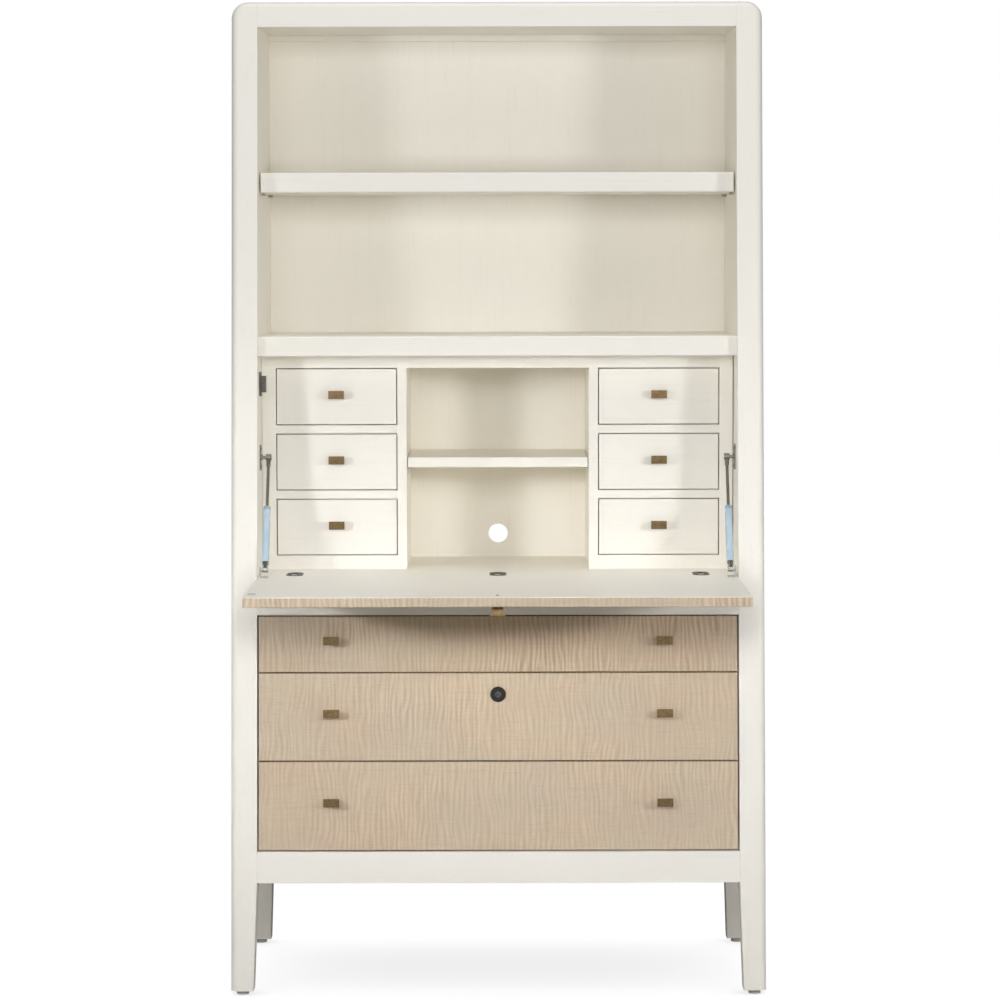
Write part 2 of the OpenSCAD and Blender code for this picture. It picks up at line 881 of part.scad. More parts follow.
// Open-topped box of wide drawer i
module wide_box(i) {
    z0 = wide_z(i) + box_lift;
    z1 = wide_z(i) + wide_front_h[i] - box_drop[i];
    inset = front_inset + wide_front_t;
    color(pale_wood) difference() {
        along_x(-box_half, box_half)
            to_front(box_back, z0, z1, inset);
        along_x(box_wall - box_half, box_half - box_wall)
            to_front(box_back + box_wall, z0 + box_floor, z1 + 1, inset + box_wall);
        if (i == 1)
            board(-box_lock_room, cam_len, front_d(z1) - inset - box_wall - 1, front_d(z0) - inset + 5,
                lock_z - box_lock_room, z1 + 1);
    }
}

module wide_pulls(i) {
    z = wide_z(i) + wide_front_h[i] / 2 + pull_up;
    color(brass) for (x = [-pull_x, pull_x])
        on_front(x, z, front_inset)
            pull();
}

module wide_runners(i) {
    z = slide_z(i);
    color(steel) for (s = [-1, 1]) on_side(s)
        runner_channel(z, box_back + 4, front_d(z) - front_inset - wide_front_t - runner_short);
}

// Ring and barrel of the lock
module lock_body() {
    color(dark_steel) on_front(0, lock_z, front_inset)
        difference() {
            union() {
                rotate([90, 0, 0])
                    cylinder(r = lock_ring_r, h = lock_ring_t);
                rotate([-90, 0, 0])
                    cylinder(r = lock_body_r, h = lock_body_len);
            }
            translate([0, -lock_ring_t - 1, 0])
                rotate([-90, 0, 0])
                    cylinder(r = plug_r + lock_fit, h = lock_body_len + lock_ring_t + 2);
        }
}

// Plug with the key slot, and the cam on its tail; the cam lies level when unlocked
module lock_plug() {
    color(steel) on_front(0, lock_z, front_inset) {
        difference() {
            translate([0, plug_inset - lock_ring_t, 0])
                rotate([-90, 0, 0])
                    cylinder(r = plug_r, h = lock_body_len + cam_gap + lock_ring_t - plug_inset);
            translate([-key_slot_w / 2, -lock_ring_t, -key_slot_h / 2])
                cube([key_slot_w, key_slot_d, key_slot_h]);
        }
        translate([-cam_w / 2, lock_body_len + cam_gap, -cam_w / 2])
            cube([cam_len, cam_t, cam_w]);
    }
}

// Small drawer: a flush front with its box behind it
module small_drawer(s, i) {
    x = s * bay_x;
    half = bay_w / 2 - small_gap;
    box_half_w = half - small_box_inset;
    d1 = face_d - small_front_t;
    z0 = bay_z(i) + small_gap;
    z1 = bay_z(i) + small_box_h;
    color(paint) {
        board(x - half, x + half, d1, face_d, z0, bay_z(i) + bay_h - small_gap);
        difference() {
            board(x - box_half_w, x + box_half_w, small_box_back, d1, z0, z1);
            board(x - box_half_w + small_wall, x + box_half_w - small_wall,
                small_box_back + small_wall, d1, z0 + small_box_floor, z1 + 1);
        }
    }
}

module small_knob(s, i) {
    color(brass) translate([s * bay_x, y_at(face_d), bay_z(i) + bay_h / 2 + small_knob_up])
        pull();
}

front_stile(-1);  // front_stile_left
front_stile(1);  // front_stile_right
rear_post(-1);  // rear_post_left
rear_post(1);  // rear_post_right
side_panel(-1);  // side_panel_left
side_panel(1);  // side_panel_right
top_panel();
top_rail();
back_panel();
back_cleat();
adjustable_shelf();
shelf_pins();
fixed_shelf();
desk_floor();
desk_front_rail();
organizer_face_frame();
organizer_partitions();
cubby_shelf();
bottom_rail();
case_rails();
drawer_tracks();
foot_glides();
desk_hinge_cups();
strut_wall_brackets();
leaf_catch();
leaf_panel();
leaf_pull();
leaf_hinge_cups();
leaf_strike();
strut_leaf_brackets();
strut_rod(-1);  // strut_rod_left
strut_rod(1);  // strut_rod_right
strut_cylinder(-1);  // strut_cylinder_left
strut_cylinder(1);  // strut_cylinder_right
wide_front(0);  // bottom_drawer_front
wide_front(1);  // middle_drawer_front
wide_front(2);  // top_drawer_front
wide_box(0);  // bottom_drawer_box
wide_box(1);  // middle_drawer_box
wide_box(2);  // top_drawer_box
wide_pulls(0);  // bottom_drawer_pulls
wide_pulls(1);  // middle_drawer_pulls
wide_pulls(2);  // top_drawer_pulls
wide_runners(0);  // bottom_drawer_runners
wide_runners(1);  // middle_drawer_runners
wide_runners(2);  // top_drawer_runners
lock_body();
lock_plug();
small_drawer(-1, 0);  // small_drawer_left_1
small_drawer(-1, 1);  // small_drawer_left_2
small_drawer(-1, 2);  // small_drawer_left_3
small_drawer(1, 0);  // small_drawer_right_1
small_drawer(1, 1);  // small_drawer_right_2
small_drawer(1, 2);  // small_drawer_right_3
small_knob(-1, 0);  // small_knob_left_1
small_knob(-1, 1);  // small_knob_left_2
small_knob(-1, 2);  // small_knob_left_3
small_knob(1, 0);  // small_knob_right_1
small_knob(1, 1);  // small_knob_right_2
small_knob(1, 2);  // small_knob_right_3
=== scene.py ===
"""Looks of the secretary desk: materials, small details, studio, lights and camera.

Lengths are in metres, colours are linear RGB, and a noise scale is in cycles per metre.
"""

import json
import math

import bmesh
import bpy
from mathutils import Matrix, Vector


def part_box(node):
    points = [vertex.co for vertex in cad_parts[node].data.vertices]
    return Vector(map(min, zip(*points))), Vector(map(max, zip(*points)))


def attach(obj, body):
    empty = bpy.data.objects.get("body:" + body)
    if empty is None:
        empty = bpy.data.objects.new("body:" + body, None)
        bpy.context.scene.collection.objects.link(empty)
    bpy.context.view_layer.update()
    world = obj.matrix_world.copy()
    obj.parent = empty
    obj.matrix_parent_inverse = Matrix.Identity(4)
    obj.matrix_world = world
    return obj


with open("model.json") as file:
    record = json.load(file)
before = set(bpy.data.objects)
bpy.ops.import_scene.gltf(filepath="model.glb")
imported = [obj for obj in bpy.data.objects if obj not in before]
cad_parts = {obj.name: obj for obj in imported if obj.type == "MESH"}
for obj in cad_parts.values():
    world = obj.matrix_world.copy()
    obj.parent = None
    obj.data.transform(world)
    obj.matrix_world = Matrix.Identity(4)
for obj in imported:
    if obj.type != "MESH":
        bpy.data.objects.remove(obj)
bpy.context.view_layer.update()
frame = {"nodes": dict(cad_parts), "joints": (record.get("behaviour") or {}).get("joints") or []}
NODES = frame["nodes"]

# Height of the writing surface and the plane of the rear face, read from the frame
DESK_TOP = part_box("leaf_panel")[1].z
REAR_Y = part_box("rear_post_left")[1].y

# Radius of a strut's lower socket, and where its tube starts and ends above that socket's centre
LOWER_SOCKET = 0.005
TUBE_FOOT, TUBE_HEAD = 0.016, 0.133

PAINT_RGB = (0.886, 0.861, 0.802)
PAINT_DRIFT = (1.012, 1.01, 0.992)
PAINT_GRAIN = (0.66, 0.60, 0.49)
PAINT_MOTTLE = (0.72, 0.66, 0.55)
PAINT_WORN = (0.80, 0.74, 0.62)
MAPLE_LIGHT = (0.705, 0.590, 0.432)
MAPLE_DARK = (0.375, 0.285, 0.188)
MAPLE_PINK = (0.606, 0.438, 0.319)
MAPLE_ASH = (0.50, 0.45, 0.37)
MAPLE_PORE = (0.25, 0.17, 0.10)
MAPLE_EDGE = (0.70, 0.58, 0.43)
BOX_LIGHT, BOX_DARK = (0.68, 0.54, 0.36), (0.55, 0.40, 0.24)
BOX_LINE, BOX_FLECK = (0.40, 0.27, 0.15), (0.30, 0.19, 0.10)
TUBE_BLUE, TUBE_PALE = (0.44, 0.58, 0.70), (0.53, 0.66, 0.76)
TUBE_CRIMP, TUBE_SCUFF = (0.20, 0.33, 0.43), (0.62, 0.68, 0.72)
TUBE_ZINC = (0.42, 0.42, 0.40)
GLIDE_LIGHT, GLIDE_DARK = (0.56, 0.55, 0.52), (0.50, 0.49, 0.46)
GLIDE_SCUFF = (0.36, 0.34, 0.31)

PAINT_GRAIN_ACROSS, PAINT_GRAIN_ALONG = 260.0, 7.0
BRUSH_ACROSS, BRUSH_ALONG = 1800.0, 60.0
CURLS_PER_METRE = 104.0
PAINT_BUMP, MAPLE_BUMP, BOX_BUMP = 0.00012, 0.00022, 0.00015
BRUSH_BUMP, SCUFF_BUMP, GLIDE_BUMP = 0.00003, 0.00002, 0.00008
# The leaf's paint ends between these depths below the writing surface
PAINT_END, PAINT_START = 0.0011, 0.0008
# How far the rounded normal leaves the flat one at the edge of a worn strip, and in its middle
EDGE_LOW, EDGE_HIGH = 0.02, 0.25


# ---------------------------------------------------------------- node helpers

class Graph:
    """A material's node tree, with a short call for each kind of node that the materials use."""

    def __init__(self, name, specular=0.5, metallic=0.0):
        self.material = bpy.data.materials.new(name)
        self.material.use_nodes = True
        self.tree = self.material.node_tree
        self.shader = self.tree.nodes["Principled BSDF"]
        self.shader.inputs["Specular IOR Level"].default_value = specular
        self.shader.inputs["Metallic"].default_value = metallic
        self.coords = self.tree.nodes.new("ShaderNodeTexCoord")

    def link(self, source, target):
        self.tree.links.new(source, target)

    def put(self, value, socket):
        """Links an output, or sets a plain value."""
        if isinstance(value, bpy.types.NodeSocket):
            self.link(value, socket)
        else:
            socket.default_value = value

    def place(self, scale=(1, 1, 1), offset=(0, 0, 0)):
        """The point in the piece's own space, in metres, scaled and moved."""
        mapping = self.tree.nodes.new("ShaderNodeMapping")
        mapping.inputs["Scale"].default_value = scale
        mapping.inputs["Location"].default_value = offset
        self.link(self.coords.outputs["Object"], mapping.inputs["Vector"])
        return mapping.outputs["Vector"]

    def noise(self, vector, scale=1.0, detail=2.0, roughness=0.5, distortion=0.0):
        node = self.tree.nodes.new("ShaderNodeTexNoise")
        node.inputs["Scale"].default_value = scale
        node.inputs["Detail"].default_value = detail
        node.inputs["Roughness"].default_value = roughness
        node.inputs["Distortion"].default_value = distortion
        self.link(vector, node.inputs["Vector"])
        return node.outputs["Fac"]

    def math(self, operation, a, b=0.0):
        node = self.tree.nodes.new("ShaderNodeMath")
        node.operation = operation
        self.put(a, node.inputs[0])
        self.put(b, node.inputs[1])
        return node.outputs[0]

    def weigh(self, a, weight_a, b, weight_b):
        """The sum of two values, each times its weight."""
        return self.math("ADD", self.math("MULTIPLY", a, weight_a), self.math("MULTIPLY", b, weight_b))

    def spread(self, value, low, high, out_low=0.0, out_high=1.0):
        """Maps the range low..high of a value to out_low..out_high, held at the ends."""
        node = self.tree.nodes.new("ShaderNodeMapRange")
        node.inputs["From Min"].default_value = low
        node.inputs["From Max"].default_value = high
        node.inputs["To Min"].default_value = out_low
        node.inputs["To Max"].default_value = out_high
        self.put(value, node.inputs["Value"])
        return node.outputs["Result"]

    def mix(self, factor, a, b):
        node = self.tree.nodes.new("ShaderNodeMix")
        node.data_type = "RGBA"
        self.put(factor, node.inputs["Factor"])
        for value, socket in ((a, node.inputs["A"]), (b, node.inputs["B"])):
            self.put(value if isinstance(value, bpy.types.NodeSocket) else (*value, 1.0), socket)
        return node.outputs["Result"]

    def axis(self, vector, name):
        node = self.tree.nodes.new("ShaderNodeSeparateXYZ")
        self.link(vector, node.inputs[0])
        return node.outputs[name]

    def bump(self, height, distance, strength, under=None):
        node = self.tree.nodes.new("ShaderNodeBump")
        node.inputs["Distance"].default_value = distance
        node.inputs["Strength"].default_value = strength
        self.put(height, node.inputs["Height"])
        if under is not None:
            self.link(under, node.inputs["Normal"])
        return node.outputs["Normal"]

    def edges(self, radius):
        """1 on the sharp edges of a piece and 0 on its flat faces."""
        bevel = self.tree.nodes.new("ShaderNodeBevel")
        bevel.samples = 4
        bevel.inputs["Radius"].default_value = radius
        geometry = self.tree.nodes.new("ShaderNodeNewGeometry")
        dot = self.tree.nodes.new("ShaderNodeVectorMath")
        dot.operation = "DOT_PRODUCT"
        self.link(bevel.outputs["Normal"], dot.inputs[0])
        self.link(geometry.outputs["Normal"], dot.inputs[1])
        return self.spread(self.math("SUBTRACT", 1.0, dot.outputs["Value"]), EDGE_LOW, EDGE_HIGH)

    def finish(self, color, roughness, normal):
        self.link(color, self.shader.inputs["Base Color"])
        self.link(roughness, self.shader.inputs["Roughness"])
        self.link(normal, self.shader.inputs["Normal"])
        return self.material


def stretch(across, lengthwise, along):
    """Noise scales that draw a pattern out along x, y or z."""
    return tuple(lengthwise if axis == along else across for axis in "xyz")


# ------------------------------------------------------------------- materials

def paint_look(g, along):
    """Colour, roughness and bump of sprayed satin paint over wood, with its grain along x, y or z."""
    drawn_out = g.place(stretch(PAINT_GRAIN_ACROSS, PAINT_GRAIN_ALONG, along))
    grain = g.noise(drawn_out, detail=3.0, roughness=0.6)
    cloud = g.noise(g.place(), scale=3.2, detail=3.0)
    mottle = g.noise(g.place(), scale=38.0, detail=2.0)
    peel = g.noise(g.place(), scale=520.0, detail=1.0)
    drifted = tuple(c * k for c, k in zip(PAINT_RGB, PAINT_DRIFT))
    worn = g.math("MULTIPLY", g.edges(0.0012), g.spread(mottle, 0.42, 0.62, 0.0, 0.35))
    tint = g.mix(g.spread(cloud, 0.3, 0.7), PAINT_RGB, drifted)
    tint = g.mix(g.spread(grain, 0.44, 0.30, 0.0, 0.10), tint, PAINT_GRAIN)
    tint = g.mix(g.spread(mottle, 0.35, 0.7, 0.0, 0.035), tint, PAINT_MOTTLE)
    tint = g.mix(worn, tint, PAINT_WORN)
    rough = g.math("ADD", g.spread(cloud, 0.3, 0.7, 0.36, 0.44), g.spread(grain, 0.3, 0.7, 0.07, 0.0))
    return tint, rough, g.weigh(grain, 0.7, peel, 0.3)


def paint_material(along):
    g = Graph(f"paint_grain_{along}", specular=0.42)
    tint, rough, height = paint_look(g, along)
    return g.finish(tint, rough, g.bump(height, PAINT_BUMP, 0.55))


def maple_look(g, offset, figure):
    """Curly maple: upright ripples across a faint grain along x.

    offset moves the pattern, and figure is the strength of the ripples.
    """
    x = g.axis(g.place(offset=offset), "X")
    sway = g.noise(g.place((13.0, 8.5, 8.5), offset), detail=1.0)
    fork = g.noise(g.place((42.0, 9.0, 9.0), offset), detail=1.0)
    phase = g.weigh(x, CURLS_PER_METRE, sway, 3.4)
    phase = g.math("ADD", phase, g.math("MULTIPLY", fork, 1.9))
    wave = g.math("SINE", g.math("MULTIPLY", phase, math.tau))
    streak = g.noise(g.place((190.0, 17.0, 17.0), offset), detail=1.0)
    ripple = g.weigh(wave, 0.6, g.spread(streak, 0.28, 0.72, -1.0, 1.0), 0.55)
    patch = g.noise(g.place((3.2, 6.0, 6.0), offset), detail=2.0)
    ripple = g.math("MULTIPLY", ripple, g.spread(patch, 0.38, 0.62, 0.35, 1.15))
    ripple = g.spread(ripple, -1.0, 1.0)
    fine = g.noise(g.place((16.0, 620.0, 620.0), offset), detail=3.0, roughness=0.65)
    pores = g.noise(g.place((150.0, 1500.0, 1500.0), offset), detail=1.0)
    cloud = g.noise(g.place((2.6, 6.5, 6.5), offset), detail=3.0, roughness=0.6)
    ash = g.noise(g.place((3.4, 5.0, 5.0), tuple(v + 0.7 for v in offset)), detail=2.0)
    tint = g.mix(g.spread(ripple, 0.0, 1.0, 0.95 * figure, 0.0), MAPLE_LIGHT, MAPLE_DARK)
    tint = g.mix(g.spread(cloud, 0.40, 0.66, 0.0, 0.75), tint, g.mix(0.5, tint, MAPLE_PINK))
    tint = g.mix(g.spread(ash, 0.46, 0.66, 0.0, 0.30), tint, MAPLE_ASH)
    tint = g.mix(g.spread(fine, 0.52, 0.30, 0.0, 0.22), tint, MAPLE_DARK)
    tint = g.mix(g.spread(pores, 0.36, 0.27, 0.0, 0.35), tint, MAPLE_PORE)
    tint = g.mix(g.math("MULTIPLY", g.edges(0.0009), 0.35), tint, MAPLE_EDGE)
    rough = g.math("ADD", g.spread(ripple, 0.0, 1.0, 0.50, 0.40), g.spread(fine, 0.3, 0.7, 0.06, 0.0))
    return tint, rough, g.weigh(ripple, 0.75, fine, 0.25)


def maple_material(name, offset, figure):
    g = Graph(name, specular=0.4)
    tint, rough, height = maple_look(g, offset, figure)
    return g.finish(tint, rough, g.bump(height, MAPLE_BUMP, 0.6))


def leaf_material():
    """Painted on the face that is written on, maple on the edges and the outer face."""
    g = Graph("leaf_maple_and_paint", specular=0.4)
    wood, wood_rough, wood_height = maple_look(g, (0.31, 0.0, 0.0), figure=0.95)
    paint, paint_rough, paint_height = paint_look(g, "x")
    painted = g.spread(g.axis(g.place(), "Z"), DESK_TOP - PAINT_END, DESK_TOP - PAINT_START)
    rough = g.tree.nodes.new("ShaderNodeMix")
    g.put(painted, rough.inputs["Factor"])
    g.put(wood_rough, rough.inputs["A"])
    g.put(paint_rough, rough.inputs["B"])
    wood_normal = g.bump(wood_height, MAPLE_BUMP, 0.6)
    paint_only = g.math("MULTIPLY", paint_height, painted)
    normal = g.bump(paint_only, PAINT_BUMP, 0.5, under=wood_normal)
    return g.finish(g.mix(painted, wood, paint), rough.outputs["Result"], normal)


def pale_wood_material():
    """Clear-sealed hardwood of the drawer boxes, with straight grain along x or y."""
    g = Graph("pale_sealed_wood", specular=0.35)
    bands = g.noise(g.place((3.0, 3.0, 55.0)), detail=4.0, roughness=0.6, distortion=0.6)
    lines = g.noise(g.place((22.0, 22.0, 900.0)), detail=2.0)
    flecks = g.noise(g.place((120.0, 120.0, 1600.0)), detail=1.0)
    tint = g.mix(g.spread(bands, 0.35, 0.65), BOX_LIGHT, BOX_DARK)
    tint = g.mix(g.spread(lines, 0.5, 0.3, 0.0, 0.3), tint, BOX_LINE)
    tint = g.mix(g.spread(flecks, 0.36, 0.28, 0.0, 0.4), tint, BOX_FLECK)
    rough = g.spread(bands, 0.3, 0.7, 0.48, 0.6)
    return g.finish(tint, rough, g.bump(lines, BOX_BUMP, 0.5))


def metal_material(name, light, dark, roughness, brushed="x", patina=0.5):
    """Brushed and slightly aged metal: worn light edges, darker film in between."""
    g = Graph(name, metallic=1.0)
    brush = g.noise(g.place(stretch(BRUSH_ACROSS, BRUSH_ALONG, brushed)), detail=2.0)
    blotch = g.noise(g.place(), scale=180.0, detail=4.0, roughness=0.65)
    film = g.math("MULTIPLY", g.spread(blotch, 0.36, 0.64), patina)
    scratch = tuple(c * 0.7 for c in light)
    bright = tuple(min(1.0, c * 1.35 + 0.03) for c in light)
    tint = g.mix(film, light, dark)
    tint = g.mix(g.spread(brush, 0.42, 0.62, 0.0, 0.35), tint, scratch)
    tint = g.mix(g.math("MULTIPLY", g.edges(0.0006), 0.8), tint, bright)
    rough = g.math("ADD", g.spread(blotch, 0.3, 0.7, roughness - 0.05, roughness + 0.08),
                   g.spread(brush, 0.3, 0.7, 0.0, 0.05))
    return g.finish(tint, rough, g.bump(brush, BRUSH_BUMP, 0.5))


def tube_material(side):
    """Pale blue lacquer on a gas tube, bare zinc on the collar, neck and socket below it."""
    stroke = next(j for j in frame["joints"] if j["name"] == f"strut_stroke_{side}")
    low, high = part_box(f"strut_cylinder_{side}")
    foot = Vector(((low.x + high.x) / 2, low.y + LOWER_SOCKET, low.z + LOWER_SOCKET))
    g = Graph(f"strut_tube_{side}")
    offset = g.tree.nodes.new("ShaderNodeVectorMath")
    offset.operation = "SUBTRACT"
    g.link(g.place(), offset.inputs[0])
    offset.inputs[1].default_value = foot
    along = g.tree.nodes.new("ShaderNodeVectorMath")
    along.operation = "DOT_PRODUCT"
    g.link(offset.outputs[0], along.inputs[0])
    along.inputs[1].default_value = -Vector(stroke["axis"])
    run = along.outputs["Value"]
    bare = g.spread(run, TUBE_FOOT, TUBE_FOOT + 0.0004, 1.0, 0.0)
    crimp = g.spread(run, TUBE_HEAD - 0.0075, TUBE_HEAD - 0.0065, 0.0, 0.55)
    haze = g.noise(g.place((60.0, 60.0, 14.0)), detail=3.0)
    scuff = g.noise(g.place((900.0, 900.0, 90.0)), detail=2.0)
    tint = g.mix(g.spread(haze, 0.35, 0.65), TUBE_BLUE, TUBE_PALE)
    tint = g.mix(crimp, tint, TUBE_CRIMP)
    tint = g.mix(g.spread(scuff, 0.66, 0.74, 0.0, 0.5), tint, TUBE_SCUFF)
    tint = g.mix(bare, tint, TUBE_ZINC)
    g.link(bare, g.shader.inputs["Metallic"])
    g.link(g.spread(bare, 0.0, 1.0, 0.7, 0.0), g.shader.inputs["Coat Weight"])
    g.shader.inputs["Coat Roughness"].default_value = 0.06
    return g.finish(tint, g.spread(haze, 0.3, 0.7, 0.2, 0.3), g.bump(scuff, SCUFF_BUMP, 0.4))


def glide_material():
    """Matte grey plastic of the foot glides, scuffed underneath."""
    g = Graph("glide_plastic")
    speck = g.noise(g.place(), scale=900.0, detail=2.0)
    scuff = g.noise(g.place((30.0, 30.0, 200.0)), detail=4.0)
    tint = g.mix(g.spread(speck, 0.35, 0.65), GLIDE_LIGHT, GLIDE_DARK)
    tint = g.mix(g.spread(scuff, 0.55, 0.7, 0.0, 0.5), tint, GLIDE_SCUFF)
    return g.finish(tint, g.spread(speck, 0.3, 0.7, 0.55, 0.68), g.bump(speck, GLIDE_BUMP, 0.6))


# ------------------------------------------------------ CAD nodes and materials

def shade_group():
    """Geometry nodes that shade a mesh smooth, without a change to the CAD mesh."""
    group = bpy.data.node_groups.new("shade_smooth", "GeometryNodeTree")
    group.interface.new_socket("Geometry", in_out="INPUT", socket_type="NodeSocketGeometry")
    group.interface.new_socket("Geometry", in_out="OUTPUT", socket_type="NodeSocketGeometry")
    first, last = group.nodes.new("NodeGroupInput"), group.nodes.new("NodeGroupOutput")
    smooth = group.nodes.new("GeometryNodeSetShadeSmooth")
    group.links.new(first.outputs[0], smooth.inputs["Geometry"])
    group.links.new(smooth.outputs[0], last.inputs[0])
    return group


SHADE_SMOOTH = shade_group()
WELD_GAP = 1e-5
BEVEL_SEGMENTS, BEVEL_ANGLE = 2, math.radians(32)
FLAT_FACE_WEIGHT = 90
# Radius of the rounded edges
BOARD_EDGE = 0.0008
BOX_EDGE = 0.0007
PANEL_EDGE = 0.0006
FRONT_EDGE = 0.0005
FINE_EDGE = 0.0004
PIN_EDGE = 0.0003


def soften(o, width):
    """Rounds the edges of a CAD node by modifiers, so that they catch light."""
    weld = o.modifiers.new("weld", "WELD")
    weld.merge_threshold = WELD_GAP
    shade = o.modifiers.new("shade", "NODES")
    shade.node_group = SHADE_SMOOTH
    bevel = o.modifiers.new("bevel", "BEVEL")
    bevel.width = width
    bevel.segments = BEVEL_SEGMENTS
    bevel.limit_method = "ANGLE"
    bevel.angle_limit = BEVEL_ANGLE
    bevel.use_clamp_overlap = True
    bevel.miter_outer = "MITER_ARC"
    normals = o.modifiers.new("normals", "WEIGHTED_NORMAL")
    normals.keep_sharp = False
    normals.weight = FLAT_FACE_WEIGHT


def dress(names, material, width=None):
    """Gives CAD nodes their material, and rounds their edges if a width is given."""
    for name in names:
        o = NODES[name]
        o.data.materials.clear()
        o.data.materials.append(material)
        if width:
            soften(o, width)


def both_sides(name):
    return [f"{name}_left", f"{name}_right"]


SMALL = [f"{side}_{i}" for side in ("left", "right") for i in (1, 2, 3)]
WIDE = ("bottom", "middle", "top")
WIDE_FIGURES = (0.62, 0.68, 1.10)

paint_x, paint_z = (paint_material(axis) for axis in "xz")
pale_wood = pale_wood_material()
brass = metal_material("antique_brass", (0.285, 0.195, 0.100), (0.135, 0.092, 0.048), 0.34, patina=0.7)
steel = metal_material("zinc_plated_steel", (0.58, 0.57, 0.55), (0.36, 0.35, 0.33), 0.34, "z", 0.5)
strut_steel = metal_material("oiled_strut_steel", (0.30, 0.29, 0.25), (0.15, 0.145, 0.12), 0.28, "z", 0.6)
hinge_steel = metal_material("hinge_steel", (0.17, 0.17, 0.145), (0.12, 0.12, 0.10), 0.62, patina=0.5)
dark_steel = metal_material("dark_bronzed_steel", (0.14, 0.135, 0.12), (0.07, 0.065, 0.055), 0.38,
                            patina=0.7)
black_steel = metal_material("blackened_steel", (0.055, 0.055, 0.052), (0.03, 0.03, 0.028), 0.30,
                             patina=0.6)

dress(both_sides("front_stile") + both_sides("rear_post") + both_sides("side_panel"), paint_z, BOARD_EDGE)
dress(["back_panel", "organizer_partitions"], paint_z, PANEL_EDGE)
dress(["top_panel", "top_rail", "back_cleat", "desk_front_rail", "bottom_rail"], paint_x, BOARD_EDGE)
dress(["adjustable_shelf", "fixed_shelf", "cubby_shelf", "desk_floor"], paint_x, BOARD_EDGE)
dress(["organizer_face_frame"] + [f"small_drawer_{s}" for s in SMALL], paint_x, FINE_EDGE)
dress([f"small_knob_{s}" for s in SMALL], brass, FRONT_EDGE)
dress([f"{w}_drawer_pulls" for w in WIDE] + ["leaf_pull"], brass, FRONT_EDGE)
dress(["leaf_panel"], leaf_material())
for number, (drawer, figure) in enumerate(zip(WIDE, WIDE_FIGURES)):
    offset = (0.17 + 0.41 * number, 0.3 * number, 0.23 * number)
    dress([f"{drawer}_drawer_front"], maple_material(f"{drawer}_drawer_maple", offset, figure), FRONT_EDGE)
dress([f"{w}_drawer_box" for w in WIDE] + ["case_rails"], pale_wood, BOX_EDGE)
dress(["drawer_tracks"] + [f"{w}_drawer_runners" for w in WIDE], steel)
dress(["shelf_pins", "strut_leaf_brackets", "leaf_strike"], steel, PIN_EDGE)
dress(["strut_wall_brackets"] + both_sides("strut_rod"), strut_steel, PIN_EDGE)
dress(["desk_hinge_cups", "leaf_hinge_cups"], hinge_steel, FINE_EDGE)
dress(["leaf_catch", "lock_plug"], dark_steel, FINE_EDGE)
dress(["lock_body"], black_steel, PANEL_EDGE)
for side in ("left", "right"):
    dress([f"strut_cylinder_{side}"], tube_material(side), PANEL_EDGE)
dress(["foot_glides"], glide_material(), BOARD_EDGE)


# --------------------------------------------------------------- small details

SCREW_RINGS, SCREW_SPOKES = 9, 48
# Shares of a head's radius or rise
CROSS_HALF_WIDTH, CROSS_REACH = 0.13, 0.66
DOME_DROP, RECESS = 0.55, 0.5


def screw_head(mesh, place, axis, radius, rise):
    """Adds a closed, domed head with a cross recess to a bmesh, from its foot at place along axis."""
    turn = Vector(axis).to_track_quat("Z", "Y").to_matrix().to_4x4()
    to_world = Matrix.Translation(place) @ turn
    angles = [math.tau * spoke / SCREW_SPOKES for spoke in range(SCREW_SPOKES)]
    rings = []
    for ring in range(1, SCREW_RINGS + 1):
        r = radius * ring / SCREW_RINGS
        row = []
        for angle in angles:
            x, y = r * math.cos(angle), r * math.sin(angle)
            in_cross = min(abs(x), abs(y)) < CROSS_HALF_WIDTH * radius and r < CROSS_REACH * radius
            dome = rise * (1.0 - DOME_DROP * (r / radius) ** 2)
            height = dome - RECESS * rise if in_cross else dome
            row.append(mesh.verts.new(to_world @ Vector((x, y, height))))
        rings.append(row)
    centre = mesh.verts.new(to_world @ Vector((0, 0, rise - RECESS * rise)))
    foot = []
    for angle in angles:
        rim = Vector((radius * math.cos(angle), radius * math.sin(angle), 0))
        foot.append(mesh.verts.new(to_world @ rim))
    for k in range(SCREW_SPOKES):
        after = (k + 1) % SCREW_SPOKES
        mesh.faces.new((centre, rings[0][k], rings[0][after]))
        for inner, outer in zip(rings, rings[1:] + [foot]):
            mesh.faces.new((inner[k], outer[k], outer[after], inner[after]))
    mesh.faces.new(foot[::-1])


def screws(name, body, places, axis, radius, rise):
    """One piece that holds a group of screw heads, riding on a body."""
    mesh = bmesh.new()
    for place in places:
        screw_head(mesh, place, axis, radius, rise)
    data = bpy.data.meshes.new(name)
    mesh.to_mesh(data)
    mesh.free()
    data.materials.append(steel)
    piece = bpy.data.objects.new(name, data)
    bpy.context.scene.collection.objects.link(piece)
    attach(piece, body)


CUP_R, CUP_SCREW_X = 0.0169, 0.0105
CUP_SCREW_R, CUP_SCREW_RISE, CUP_SCREW_SINK = 0.0024, 0.0011, 0.00095
for cups, body in (("desk_hinge_cups", "case"), ("leaf_hinge_cups", "leaf")):
    low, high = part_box(cups)
    row_y = high.y - CUP_R if body == "case" else low.y + CUP_R
    places = []
    for x in (low.x + CUP_R, 0.0, high.x - CUP_R):
        places.append((x - CUP_SCREW_X, row_y, DESK_TOP - CUP_SCREW_SINK))
        places.append((x + CUP_SCREW_X, row_y, DESK_TOP - CUP_SCREW_SINK))
    screws(f"{cups}_screws", body, places, (0, 0, 1), CUP_SCREW_R, CUP_SCREW_RISE)

